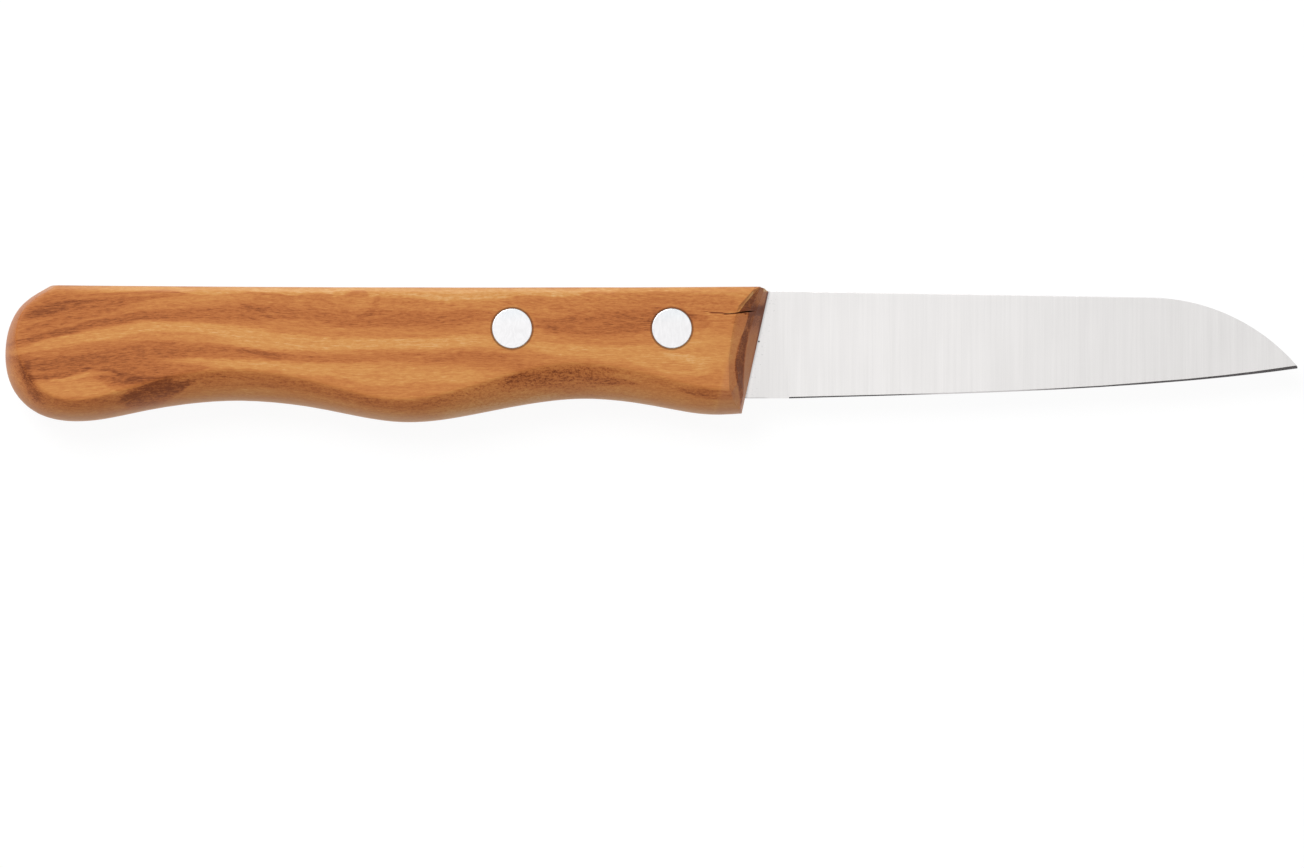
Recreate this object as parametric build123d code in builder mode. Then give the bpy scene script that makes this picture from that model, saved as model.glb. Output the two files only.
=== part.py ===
from build123d import *
import math
import os

# A paring knife: a flat-ground steel blade whose half tang sits in a sawn slot of a one-piece wooden
# handle, held by two rivets that are each a stud pressed into a sleeve. Lengths are in millimetres.
# The knife lies on its side. X points to the tip, Y to the spine and Z up, and the origin is under
# the middle of the knife's box.

# Handle
handle_length = 113.1
handle_height = 20.4
handle_thickness = 13.0
top_line_drop = 0.28
top_line_sag = 0.26
top_edge_round = 0.7
belly_core = 2.3
nose_slant_deg = 12.56
nose_bevel_width = 3.95
nose_land = 1.9
nose_corner_length = 1.5
nose_corner_drop = 0.75

# Outline of the handle, seen from its side, from above the butt's corner round to past the nose.
# Each point is a share of the handle's length from the butt and of its height from mid-height.
outline_shares = (
    (0.0870, 0.590), (0.0612, 0.499), (0.0205, 0.346), (0.0000, 0.032), (0.0110, -0.268),
    (0.0430, -0.436), (0.0915, -0.493), (0.1780, -0.421), (0.3040, -0.343), (0.4180, -0.4075),
    (0.5210, -0.499), (0.6300, -0.424), (0.7590, -0.329), (0.8700, -0.402), (0.9200, -0.443),
    (0.9640, -0.435), (1.0300, -0.420),
)
# The arris where the flat side meets the belly bevel, with one point for each point of the outline
arris_shares = (
    (0.0920, 0.575), (0.0670, 0.485), (0.0270, 0.322), (0.0170, 0.040), (0.0340, -0.165),
    (0.0545, -0.280), (0.0900, -0.337), (0.1790, -0.222), (0.2990, -0.118), (0.4120, -0.211),
    (0.5140, -0.331), (0.6250, -0.208), (0.7490, -0.067), (0.8700, -0.186), (0.9210, -0.252),
    (0.9690, -0.261), (1.0350, -0.261),
)
# Section of the belly bevel: how far it has moved in towards the arris, at a share of its depth
bevel_section_shares = ((0.0, 0.0), (0.11, 0.29), (0.31, 0.55), (0.60, 0.79), (1.0, 1.0))

# Hand-cut facets of the nose at seven heights: how far behind the nose each edge lies, as a share
# of the bevel's width, and the edge's depth from the flat side, as a share of the bevel's depth
nose_station_shares = (-0.45, -0.30, -0.08, 0.12, 0.26, 0.30, 0.52)
nose_edge_shares = (
    ((0.62, 0.0), (0.08, 0.62), (0.04, 0.80)),
    ((0.66, 0.0), (0.22, 0.33), (0.08, 0.64)),
    ((0.96, 0.0), (0.63, 0.16), (0.30, 0.47)),
    ((1.04, 0.0), (0.62, 0.19), (0.37, 0.44)),
    ((1.06, 0.0), (0.53, 0.22), (0.32, 0.46)),
    ((1.00, 0.0), (0.52, 0.34), (0.28, 0.60)),
    ((0.335, 0.0), (0.27, 0.10), (0.15, 0.40)),
)
# How far the outermost facet runs on above the flat side, as a share of its own width
facet_run_on_share = 0.4

# Blade
blade_reach = 78.1
blade_height = 15.9
blade_thickness = 1.5
spine_step = 0.64
spine_straight = 56.4
spine_fall = 0.97
tip_drop = 11.31
tip_width = 0.3
sharpened_setback = 6.4
edge_thickness_heel = 0.15
edge_thickness_tip = 0.30
edge_angle_deg = 18.0
edge_land = 0.03
plunge_radius = 25.0
# The sharpened edge, as shares of its length from the heel and of its rise to the tip
edge_shares = ((0.0, 0.0), (0.33, 0.158), (0.71, 0.489), (0.905, 0.795), (1.0, 1.0))

# Tang and its slot
tang_length = 46.0
tang_end_height = 9.4
tang_shoulder = 1.5
tang_end_round = 3.0
slot_clearance = 0.04

# Rivets
front_rivet_setback = 14.5
rivet_spacing = 23.6
rivet_drop = 6.22
head_diameter = 5.9
head_depth = 1.2
head_rim_chamfer = 0.08
sleeve_diameter = 3.4
pin_diameter = 2.2
head_clearance = 0.03
sleeve_clearance = 0.06
pin_clearance = 0.02
sleeve_end_gap = 0.3
pin_end_gap = 0.5

# One overrun serves every cut
overrun = 8.0

# Places worked out from the sizes above
overall_length = handle_length + blade_reach
butt_x = -overall_length / 2
nose_x = butt_x + handle_length
tip_x = overall_length / 2
mid_z = handle_thickness / 2
mid_plane = Plane.XY.offset(mid_z)
top_y = handle_height / 2
nose_top_y = top_y - top_line_drop
nose_slant = math.tan(math.radians(nose_slant_deg))
core_half = belly_core / 2
bevel_depth = mid_z - core_half
blade_half = blade_thickness / 2
spine_y = nose_top_y - spine_step
heel_y = spine_y - blade_height
tip_y = spine_y - tip_drop
sharpened_x = nose_x - (spine_y - heel_y) * nose_slant + sharpened_setback
rivet_y = top_y - rivet_drop - top_line_drop
front_rivet_x = nose_x - front_rivet_setback
rear_rivet_x = front_rivet_x - rivet_spacing


def nose_x_at(y):
    """X of the slanted nose plane at a height on the knife's side."""
    return nose_x - (nose_top_y - y) * nose_slant


def handle_line(inset_share):
    """Points of the butt and belly, moved in from the outline (0) towards the arris (1)."""
    points = []
    for outer, inner in zip(outline_shares, arris_shares):
        x_share = outer[0] + inset_share * (inner[0] - outer[0])
        y_share = outer[1] + inset_share * (inner[1] - outer[1])
        points.append((butt_x + x_share * handle_length, y_share * handle_height))
    return points


def run_shares(points):
    """Share of the whole run at each point, so that splines made with it match span by span."""
    steps = [math.dist(start, end) for start, end in zip(points, points[1:])]
    return [sum(steps[:count]) / sum(steps) for count in range(len(points))]


def handle_section(inset_share, height):
    """One level of the handle's body, closed past its top line and its nose for the trim."""
    with BuildSketch(mid_plane.offset(height)) as section:
        with BuildLine():
            line = Edge.make_spline(handle_line(inset_share), parameters=run_shares(handle_line(0.0)))
            add(line)
            far_corner = ((line @ 1).X + overrun, (line @ 0).Y + overrun)
            Polyline(line @ 1, far_corner, ((line @ 0).X, far_corner[1]), line @ 0)
        make_face()
    return section.sketch


def tang_corners(clearance, rise, reach):
    """Corners of the tang's side view: the slot's are moved out by a clearance and run past."""
    end_x = nose_x - tang_length
    return [
        (end_x - clearance, spine_y + rise),
        (end_x - clearance, spine_y - tang_end_height - clearance),
        (nose_x_at(heel_y) - tang_shoulder, heel_y - clearance),
        (nose_x_at(heel_y) + reach, heel_y - clearance),
        (nose_x + reach, spine_y + rise),
    ]


# The handle is made as its upper half: a core, the belly bevel lofted from the outline to the arris,
# and the trim along the top line and the nose. Facets, slot and rivet holes follow, then the mirror.
with BuildPart() as handle:
    add(handle_section(0.0, 0.0))
    extrude(amount=core_half)
    bevel_levels = []
    for inset_share, depth_share in bevel_section_shares:
        bevel_levels.append(handle_section(inset_share, core_half + depth_share * bevel_depth))
    loft(bevel_levels)

    with BuildSketch(mid_plane) as side_trim:
        with BuildLine():
            top_middle = ((butt_x + nose_x) / 2, (top_y + nose_top_y) / 2 - top_line_sag)
            top_line = ThreePointArc((butt_x, top_y), top_middle, (nose_x, nose_top_y))
            nose_foot = (nose_x_at(-top_y - overrun), -top_y - overrun)
            Polyline(top_line @ 1, nose_foot, (butt_x - overrun, nose_foot[1]), (butt_x - overrun, top_y),
                     top_line @ 0)
        make_face()
    extrude(amount=handle_thickness, mode=Mode.INTERSECT)

    top_face = handle.faces().sort_by(Axis.Y)[-1]
    fillet(top_face.edges().sort_by(Axis.Z)[-1], radius=top_edge_round)

    # Nose facets: the wood outside them is lofted from profiles square to the nose line
    land_half = nose_land / 2
    nose_direction = Vector(nose_slant, 1, 0).normalized()
    facet_profiles = []
    for station_share, edges in zip(nose_station_shares, nose_edge_shares):
        station_y = station_share * handle_height
        station_plane = Plane(
            origin=(nose_x_at(station_y), station_y, mid_z), x_dir=(0, 0, 1), z_dir=nose_direction
        )
        corners = [(land_half, overrun), (land_half, 0.0)]
        for width_share, depth_share in reversed(edges):
            corners.append((mid_z - depth_share * (mid_z - land_half), -width_share * nose_bevel_width))
        side_edge = Vector(*corners.pop())
        run_on = side_edge + (side_edge - Vector(*corners[-1])) * facet_run_on_share
        corners.append((run_on.X, run_on.Y))
        corners.append((handle_thickness, run_on.Y))
        corners.append((handle_thickness, overrun))
        with BuildSketch(station_plane) as profile:
            Polygon(*corners, align=None)
        facet_profiles.append(profile.sketch)
    for lower, upper in zip(facet_profiles, facet_profiles[1:]):
        loft([lower, upper], ruled=True, mode=Mode.SUBTRACT)

    # The top front corner is broken by one slanted cut
    with BuildSketch(mid_plane):
        Polygon(
            (nose_x - nose_corner_length, nose_top_y),
            (nose_x + overrun, nose_top_y - nose_corner_drop * (1 + overrun / nose_corner_length)),
            (nose_x + overrun, nose_top_y + overrun),
            (nose_x - nose_corner_length, nose_top_y + overrun),
            align=None,
        )
    extrude(amount=handle_thickness, mode=Mode.SUBTRACT)

    # Saw slot for the tang, open along the top line and at the nose
    with BuildSketch(mid_plane):
        slot = Polygon(*tang_corners(slot_clearance, overrun, overrun), align=None)
        slot_end = slot.vertices().sort_by(Axis.X)[:2].sort_by(Axis.Y)[0]
        fillet(slot_end, radius=tang_end_round + slot_clearance)
    extrude(amount=blade_half + slot_clearance, mode=Mode.SUBTRACT)

    with Locations(mid_plane.offset(mid_z)):
        with Locations((front_rivet_x, rivet_y), (rear_rivet_x, rivet_y)):
            CounterBoreHole(
                radius=sleeve_diameter / 2 + sleeve_clearance,
                counter_bore_radius=head_diameter / 2 + head_clearance,
                counter_bore_depth=head_depth,
            )
    mirror(about=mid_plane)
handle.part.label = "handle"


# The blade is made as its upper half too: outline, ground flat with its run-out, edge bevel, holes
with BuildPart() as blade:
    spine_end = (nose_x + spine_straight, spine_y - spine_fall)
    spine_direction = (spine_straight, -spine_fall)
    tip_top = (tip_x, tip_y + tip_width / 2)
    tip_bottom = (tip_x, tip_y - tip_width / 2)
    edge_points = []
    for x_share, y_share in edge_shares:
        x = sharpened_x + x_share * (tip_x - sharpened_x)
        edge_points.append((x, heel_y + y_share * (tip_bottom[1] - heel_y)))
    with BuildSketch(mid_plane):
        with BuildLine():
            spine = Line((nose_x, spine_y), spine_end)
            TangentArc(spine_end, tip_top, tangent=spine_direction)
            Line(tip_top, tip_bottom)
            edge = Spline(*edge_points)
            Polyline(edge @ 0, (nose_x_at(heel_y), heel_y), (nose_x, spine_y))
        make_face()
        tang = Polygon(*tang_corners(0.0, 0.0, 0.0), align=None)
        tang_end = tang.vertices().sort_by(Axis.X)[:2]
        fillet(tang_end, radius=tang_end_round)
    extrude(amount=blade_half)

    # Ground flat: a plane through the spine's edge and the thickness left behind the cutting edge
    flat_heel = Vector(sharpened_x, heel_y, mid_z + edge_thickness_heel / 2)
    flat_tip = Vector(tip_x, tip_y, mid_z + edge_thickness_tip / 2)
    flat_spine = Vector(sharpened_x, spine_y, mid_z + blade_half)
    along = (flat_tip - flat_heel).normalized()
    flat_normal = along.cross(flat_spine - flat_heel).normalized()
    run_out_deg = math.degrees(math.acos(1 - 2 * blade_thickness / plunge_radius))
    with BuildSketch(Plane(origin=flat_heel, x_dir=along, z_dir=along.cross(flat_normal))):
        with BuildLine():
            run_out = JernArc(start=(0, 0), tangent=(-1, 0), radius=plunge_radius, arc_size=-run_out_deg)
            far_x = blade_reach + overrun
            Polyline(run_out @ 1, (far_x, (run_out @ 1).Y), (far_x, 0.0), (0.0, 0.0))
        make_face()
    extrude(amount=blade_height + overrun, both=True, mode=Mode.SUBTRACT)

    # Sharpened bevel, swept along the edge and on past the tip
    with BuildLine(mid_plane) as edge_path:
        sharpened = Spline(*edge_points)
        past_tip = (sharpened @ 1) + (sharpened % 1) * overrun
        Line(sharpened @ 1, past_tip)
    edge_slope = math.tan(math.radians(edge_angle_deg))
    with BuildSketch(Plane(origin=edge_path.line @ 0, x_dir=(0, 0, 1), z_dir=edge_path.line % 0)) as bevel:
        Polygon(
            (edge_land / 2, 0.0),
            (edge_land / 2 + blade_thickness * edge_slope, -blade_thickness),
            (blade_thickness, -blade_thickness),
            (blade_thickness, blade_thickness),
            (edge_land / 2, blade_thickness),
            align=None,
        )
    sweep(bevel.sketch, path=edge_path.line, mode=Mode.SUBTRACT)

    with Locations(mid_plane.offset(blade_half)):
        with Locations((front_rivet_x, rivet_y), (rear_rivet_x, rivet_y)):
            Hole(radius=sleeve_diameter / 2 + sleeve_clearance)
    mirror(about=mid_plane)
blade.part.label = "blade"

os.makedirs("parts", exist_ok=True)
export_step(handle.part, "parts/handle.step")
export_step(blade.part, "parts/blade.step")

# Each rivet is a sleeve with its head on the upper side and a stud pressed in from below
for rivet_name, rivet_x in (("front", front_rivet_x), ("rear", rear_rivet_x)):
    with BuildPart() as sleeve:
        with BuildSketch(Plane.XY.offset(handle_thickness)):
            with Locations((rivet_x, rivet_y)):
                Circle(head_diameter / 2)
        extrude(amount=-head_depth)
        chamfer(sleeve.edges().sort_by(Axis.Z)[-1], length=head_rim_chamfer)
        with BuildSketch(Plane.XY.offset(handle_thickness - head_depth)):
            with Locations((rivet_x, rivet_y)):
                Circle(sleeve_diameter / 2)
        extrude(amount=-(handle_thickness - 2 * head_depth - sleeve_end_gap))
        with BuildSketch(Plane.XY.offset(head_depth)):
            with Locations((rivet_x, rivet_y)):
                Circle(pin_diameter / 2 + pin_clearance)
        extrude(amount=handle_thickness - 2 * head_depth, mode=Mode.SUBTRACT)
    sleeve.part.label = f"{rivet_name}_rivet_sleeve"
    export_step(sleeve.part, f"parts/{rivet_name}_rivet_sleeve.step")

    with BuildPart() as stud:
        with BuildSketch(Plane.XY):
            with Locations((rivet_x, rivet_y)):
                Circle(head_diameter / 2)
        extrude(amount=head_depth)
        chamfer(stud.edges().sort_by(Axis.Z)[0], length=head_rim_chamfer)
        with BuildSketch(Plane.XY.offset(head_depth)):
            with Locations((rivet_x, rivet_y)):
                Circle(pin_diameter / 2)
        extrude(amount=handle_thickness - 2 * head_depth - pin_end_gap)
    stud.part.label = f"{rivet_name}_rivet_stud"
    export_step(stud.part, f"parts/{rivet_name}_rivet_stud.step")
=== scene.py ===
"""Looks of a paring knife with a riveted olive wood handle. Blender's lengths are metres."""

import math

import bpy
from bpy.props import FloatProperty, FloatVectorProperty, IntProperty, PointerProperty
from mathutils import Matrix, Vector


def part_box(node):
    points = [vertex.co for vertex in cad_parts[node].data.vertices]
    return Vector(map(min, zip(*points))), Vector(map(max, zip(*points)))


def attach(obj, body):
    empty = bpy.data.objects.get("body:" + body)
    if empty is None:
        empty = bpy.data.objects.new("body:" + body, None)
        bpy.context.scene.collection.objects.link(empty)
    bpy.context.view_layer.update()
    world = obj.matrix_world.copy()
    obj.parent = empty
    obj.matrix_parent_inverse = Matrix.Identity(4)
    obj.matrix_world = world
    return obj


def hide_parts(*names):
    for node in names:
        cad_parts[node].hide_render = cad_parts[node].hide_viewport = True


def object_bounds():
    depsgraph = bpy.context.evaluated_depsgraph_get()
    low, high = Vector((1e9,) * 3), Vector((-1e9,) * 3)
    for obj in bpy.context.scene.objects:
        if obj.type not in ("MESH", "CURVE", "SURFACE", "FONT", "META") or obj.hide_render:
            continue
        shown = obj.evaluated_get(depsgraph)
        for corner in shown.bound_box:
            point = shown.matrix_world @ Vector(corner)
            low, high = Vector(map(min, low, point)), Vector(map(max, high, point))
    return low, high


bl_info = {
    "name": "Paring Knife",
    "version": (1, 0, 0),
    "blender": (4, 5, 0),
    "location": "3D View > Sidebar > Knife",
    "description": "Models and finishes a paring knife around its packed solids",
    "category": "Object",
}

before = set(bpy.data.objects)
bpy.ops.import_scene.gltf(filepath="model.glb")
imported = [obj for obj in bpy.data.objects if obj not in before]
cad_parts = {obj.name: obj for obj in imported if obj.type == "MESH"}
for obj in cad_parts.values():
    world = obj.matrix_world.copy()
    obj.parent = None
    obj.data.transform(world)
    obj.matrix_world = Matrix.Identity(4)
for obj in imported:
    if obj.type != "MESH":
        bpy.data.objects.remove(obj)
cad_low, cad_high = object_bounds()

MM = 0.001
BODY = "root"

handle_low, handle_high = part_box("handle")
blade_low, blade_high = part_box("blade")
mid_z = (handle_low.z + handle_high.z) / 2

# The nose leans back from its top corner, and the tang's slot follows these places
NOSE_SLANT = math.tan(math.radians(12.56))
NOSE_TOP_Y = 9.92 * MM


def nose_x_at(y):
    """X of the slanted nose at a height on the knife's side."""
    return handle_high.x - (NOSE_TOP_Y - y) * NOSE_SLANT


def srgb(red, green, blue):
    """Linear colour of an 8-bit screen colour."""
    shares = [level / 255 for level in (red, green, blue)]
    return tuple(s / 12.92 if s <= 0.04045 else ((s + 0.055) / 1.055) ** 2.4 for s in shares)


# Sizes and colours that a user would change


def size(name, description, millimetres):
    return FloatProperty(
        name=name, description=description, default=millimetres * MM, unit="LENGTH", subtype="DISTANCE",
        precision=5,
    )


def colour(name, description, red, green, blue):
    return FloatVectorProperty(
        name=name, description=description, default=srgb(red, green, blue), subtype="COLOR", size=3,
        min=0, max=1,
    )


class HandleSettings(bpy.types.PropertyGroup):
    mesh_step: size("Mesh step", "Edge length of the handle's even mesh", 0.27)
    hand_wave: size("Hand wave", "Depth of the unevenness that hand sanding leaves", 0.06)
    sanding_passes: IntProperty(
        name="Sanding passes", description="Smoothing steps on the arrises", default=2
    )
    slot_width: size("Slot width", "Width of the saw slot round the tang", 1.58)
    bore_gap: size("Bore gap", "Gap round each rivet head", 0.03)
    umber: colour("Umber", "Darkest streaks", 122, 61, 26)
    russet: colour("Russet", "Brown bands", 179, 104, 53)
    tan: colour("Tan", "Middle tone", 199, 127, 68)
    honey: colour("Honey", "Light streaks", 213, 150, 83)
    straw: colour("Straw", "Palest streaks", 229, 184, 129)
    # A painted reflection of the white surroundings on the rounded arrises
    rim_sheen: colour("Pale", "Rubbed arrises", 228, 192, 152)
    # A painted sheen: greyer colour laid over the belly's cut towards its outline
    belly_sheen: colour("Dusty", "Duller wood of the belly's cut", 194, 126, 86)
    rosy: colour("Rosy", "End grain at the nose", 178, 112, 82)
    seam: colour("Seam", "Dark line round each rivet head", 70, 42, 26)


class BladeSettings(bpy.types.PropertyGroup):
    spine_ease: size("Spine ease", "Rounding of the spine's edges", 0.07)
    steel: colour("Steel", "Ground flats", 226, 224, 223)
    # Darker steel of the sharpened bevel, partly a painted reflection of the dark surroundings it mirrors
    polish_and_reflection: colour("Polished", "Sharpened bevel", 196, 190, 192)


class RivetSettings(bpy.types.PropertyGroup):
    rim_round: size("Rim round", "Rounding of each head's rim", 0.10)
    aluminium: colour("Aluminium", "Rivet heads", 219, 218, 219)


class StageSettings(bpy.types.PropertyGroup):
    lens: FloatProperty(name="Lens", description="Focal length in millimetres", default=500.0, unit="CAMERA")
    view_width: size("View width", "Width of the picture at the knife's middle plane", 193.0)
    key_power: FloatProperty(name="Key power", description="Watts of the soft key light", default=5.5)
    sky: FloatProperty(name="Sky", description="Strength of the even light from all round", default=0.48)
    floor_glow: FloatProperty(name="Floor glow", description="White that the camera sees added", default=0.92)


# Shader helpers


class Socket:
    """One output of a node, so that shader maths is written as Python."""

    def __init__(self, paint, socket):
        self.paint = paint
        self.socket = socket

    def maths(self, operation, *values):
        return self.paint.node("ShaderNodeMath", {"operation": operation}, values)

    def __add__(self, other):
        return self.maths("ADD", self, other)

    __radd__ = __add__

    def __sub__(self, other):
        return self.maths("SUBTRACT", self, other)

    def __rsub__(self, other):
        return self.maths("SUBTRACT", other, self)

    def __mul__(self, other):
        return self.maths("MULTIPLY", self, other)

    __rmul__ = __mul__

    def __truediv__(self, other):
        return self.maths("DIVIDE", self, other)

    def __abs__(self):
        return self.maths("ABSOLUTE", self)

    def larger(self, other):
        return self.maths("MAXIMUM", self, other)

    def power(self, other):
        return self.maths("POWER", self, other)

    def rise(self, start, end):
        """0 before start, 1 after end and a smooth step between them."""
        return self.paint.node(
            "ShaderNodeMapRange", {"interpolation_type": "SMOOTHSTEP"},
            {"Value": self, "From Min": start, "From Max": end},
        )


class Paint:
    """The node tree of one material, or of the surroundings."""

    MIX_FACTOR, MIX_A, MIX_B, MIX_COLOUR = 0, 6, 7, 2

    def __init__(self, owner):
        self.owner = owner
        owner.use_nodes = True
        self.tree = owner.node_tree
        self.tree.nodes.clear()

    def node(self, kind, settings, values, output=0):
        """Adds a node, sets it up, fills or links its sockets and gives one of its outputs."""
        node = self.tree.nodes.new(kind)
        for key, value in settings.items():
            if key == "stops":
                ramp = node.color_ramp
                while len(ramp.elements) < len(value):
                    ramp.elements.new(0.5)
                for element, (place, stop_colour) in zip(ramp.elements, value):
                    element.position = place
                    element.color = (*stop_colour, 1.0)
            elif key == "points":
                curve = node.mapping.curves[0]
                while len(curve.points) < len(value):
                    curve.points.new(0.5, 0.5)
                for point, place in zip(curve.points, value):
                    point.location = place
                node.mapping.extend = "HORIZONTAL"
                node.mapping.update()
            else:
                setattr(node, key, value)
        named = values.items() if isinstance(values, dict) else enumerate(values)
        for key, value in named:
            if isinstance(value, Socket):
                self.tree.links.new(value.socket, node.inputs[key])
            else:
                node.inputs[key].default_value = value
        return Socket(self, node.outputs[output]) if node.outputs else None

    def outputs(self, kind, names, values=()):
        """Adds a node and gives its outputs of these names."""
        node = self.node(kind, {}, values).socket.node
        return [Socket(self, node.outputs[name]) for name in names]

    def split(self, vector):
        return self.outputs("ShaderNodeSeparateXYZ", "XYZ", (vector,))

    def millimetres(self):
        """X, Y and Z of the piece's own coordinates, in millimetres."""
        place = self.node("ShaderNodeTexCoord", {}, (), "Object")
        return [axis / MM for axis in self.split(place)]

    def facing(self, normal_name):
        """X, Y and Z of the surface's normal, smoothed or true."""
        return self.split(self.node("ShaderNodeNewGeometry", {}, (), normal_name))

    def seen(self):
        """1 for what shows in the picture, straight or by way of metal or glass."""
        rays = ("Is Camera Ray", "Is Glossy Ray", "Is Transmission Ray")
        camera, glossy, clear = self.outputs("ShaderNodeLightPath", rays)
        return camera.larger(glossy).larger(clear)

    def vector(self, x, y, z):
        return self.node("ShaderNodeCombineXYZ", {}, (x, y, z))

    def noise(self, x, y, z, detail, roughness=0.5):
        """Soft noise from 0 to 1 about a half."""
        return self.node(
            "ShaderNodeTexNoise", {},
            {"Vector": self.vector(x, y, z), "Scale": 1.0, "Detail": detail, "Roughness": roughness},
        )

    def curve(self, value, points):
        return self.node("ShaderNodeFloatCurve", {"points": points}, {"Value": value})

    def ramp(self, value, stops):
        return self.node("ShaderNodeValToRGB", {"stops": stops}, (value,))

    def blend(self, factor, first, second):
        values = {self.MIX_FACTOR: factor, self.MIX_A: first, self.MIX_B: second}
        return self.node("ShaderNodeMix", {"data_type": "RGBA"}, values, self.MIX_COLOUR)

    def bump(self, height, strength, depth):
        """Normal of a surface raised by height times depth, in metres."""
        return self.node("ShaderNodeBump", {}, {"Height": height, "Strength": strength, "Distance": depth})

    def tint(self, levels, linear_colour):
        """A colour whose red, green and blue are multiplied by these levels."""
        return self.node("ShaderNodeVectorMath", {"operation": "MULTIPLY"}, (levels, linear_colour))

    def surface(self, **values):
        """A Principled surface as the material's output. Names are the sockets' in lower case."""
        sockets = {}
        for key, value in values.items():
            sockets[key.replace("_", " ").title().replace("Ior", "IOR")] = value
        shader = self.node("ShaderNodeBsdfPrincipled", {}, sockets)
        self.node("ShaderNodeOutputMaterial", {}, (shader,))
        return self.owner


def new_paint(name):
    return Paint(bpy.data.materials.new(name))


def opaque(linear_colour):
    return (*linear_colour, 1.0)


def grey(level):
    return (level, level, level, 1.0)


# Modelling helpers

CIRCLE_SIDES = 96
SMOOTH_ANGLE = math.radians(38)


def activate(first, *others):
    """Selects only these objects, the first of them active."""
    bpy.ops.object.select_all(action="DESELECT")
    for obj in (first, *others):
        obj.select_set(True)
    bpy.context.view_layer.objects.active = first


def select_faces(obj, wanted):
    """Enters edit mode with just the faces selected whose centre and normal are wanted."""
    activate(obj)
    bpy.ops.object.mode_set(mode="EDIT")
    bpy.ops.mesh.select_mode(type="FACE")
    bpy.ops.mesh.select_all(action="DESELECT")
    bpy.ops.object.mode_set(mode="OBJECT")
    for face in obj.data.polygons:
        face.select = wanted(face.center, face.normal)
    bpy.ops.object.mode_set(mode="EDIT")


def leave_edit_mode():
    bpy.ops.object.mode_set(mode="OBJECT")


def apply_modifier(obj, kind, **settings):
    modifier = obj.modifiers.new(kind.lower(), kind)
    for key, value in settings.items():
        setattr(modifier, key, value)
    activate(obj)
    bpy.ops.object.modifier_apply(modifier=modifier.name)


def carve(obj, cutter):
    """Takes the cutter's shape out of the piece."""
    apply_modifier(obj, "BOOLEAN", operation="DIFFERENCE", solver="EXACT", object=cutter)
    bpy.data.objects.remove(cutter)


def merged_copy(node_name, name):
    """A new piece with the solid's shape, its loose triangles joined up."""
    obj = bpy.data.objects.new(name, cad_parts[node_name].data.copy())
    bpy.context.scene.collection.objects.link(obj)
    obj.data.materials.clear()
    activate(obj)
    bpy.ops.object.mode_set(mode="EDIT")
    bpy.ops.mesh.select_all(action="SELECT")
    bpy.ops.mesh.remove_doubles(threshold=MM / 1000)
    bpy.ops.mesh.customdata_custom_splitnormals_clear()
    leave_edit_mode()
    return obj


def prism(name, corners, low, high):
    """A closed block with these corners in plan, between two heights."""
    bpy.ops.object.select_all(action="DESELECT")
    bpy.ops.mesh.primitive_circle_add(vertices=len(corners), fill_type="NGON")
    obj = bpy.context.object
    obj.name = name
    for vertex, (x, y) in zip(obj.data.vertices, corners):
        vertex.co = (x, y, low)
    bpy.ops.object.mode_set(mode="EDIT")
    bpy.ops.mesh.select_all(action="SELECT")
    bpy.ops.mesh.extrude_region_move(TRANSFORM_OT_translate={"value": (0, 0, high - low)})
    bpy.ops.mesh.select_all(action="SELECT")
    bpy.ops.mesh.normals_make_consistent(inside=False)
    leave_edit_mode()
    return obj


def cylinder(name, radius, x, y, low, high):
    bpy.ops.object.select_all(action="DESELECT")
    bpy.ops.mesh.primitive_cylinder_add(
        vertices=CIRCLE_SIDES, radius=radius, depth=high - low, location=(x, y, (low + high) / 2)
    )
    obj = bpy.context.object
    obj.name = name
    bpy.ops.object.transform_apply(location=True)
    return obj


def finish_piece(obj, material, slot_name, *nodes):
    """Gives a finished piece its material, its body and the solids that it stands for."""
    obj.data.materials.clear()
    obj.data.materials.append(material)
    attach(obj, BODY)
    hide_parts(*nodes)


def rivet_centres():
    """Name, X and Y of each rivet, from its solid."""
    centres = []
    for name in ("front", "rear"):
        low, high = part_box(f"{name}_rivet_sleeve")
        centres.append((name, (low.x + high.x) / 2, (low.y + high.y) / 2))
    return centres


# Handle

# The rivets' heads and hidden shanks
HEAD_RADIUS = (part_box("front_rivet_sleeve")[1].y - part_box("front_rivet_sleeve")[0].y) / 2
HEAD_DEPTH = 1.2 * MM
SHANK_RADIUS = 1.7 * MM
PIN_RADIUS = 1.1 * MM

# The tang's slot
TANG_LOW_Y = blade_high.y - 9.4 * MM
SLOT_END_GAP = 0.04 * MM
SLOT_RUN_OUT = 1.5 * MM

# Cutters run on past the wood. Plugs reach into it, but end short of its top
BEYOND = 3 * MM
PLUG_MARGIN = 0.1 * MM

# Where the nose's cuts begin, and how its sanded wood is stretched to be cut again
NOSE_CUTS_X = 9 * MM
NOSE_ROOT_X = NOSE_CUTS_X - 3 * MM
NOSE_STRETCH = 1.05
GAUGE_EASE = 1.008
WASTE_OVER = 2 * MM

# Length of the waves that sanding leaves
WAVE_LENGTH = 9 * MM

# Outlines on the side in millimetres: the drying crack, with the wood left under it, and the small
# corner that broke off the nose
CRACK = ((10.0, 5.95), (11.4, 5.84), (12.6, 5.90), (13.6, 6.02), (14.6, 6.12), (15.5, 6.34),
         (14.5, 6.32), (13.5, 6.22), (12.6, 6.04), (11.4, 5.92))
CRACK_FLOOR = 0.3 * MM
BROKEN_CORNER = ((15.9, 10.3), (16.1, 9.80), (16.7, 9.62), (17.05, 9.30), (17.3, 9.15), (18.5, 9.0),
                 (18.5, 10.3))
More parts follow.
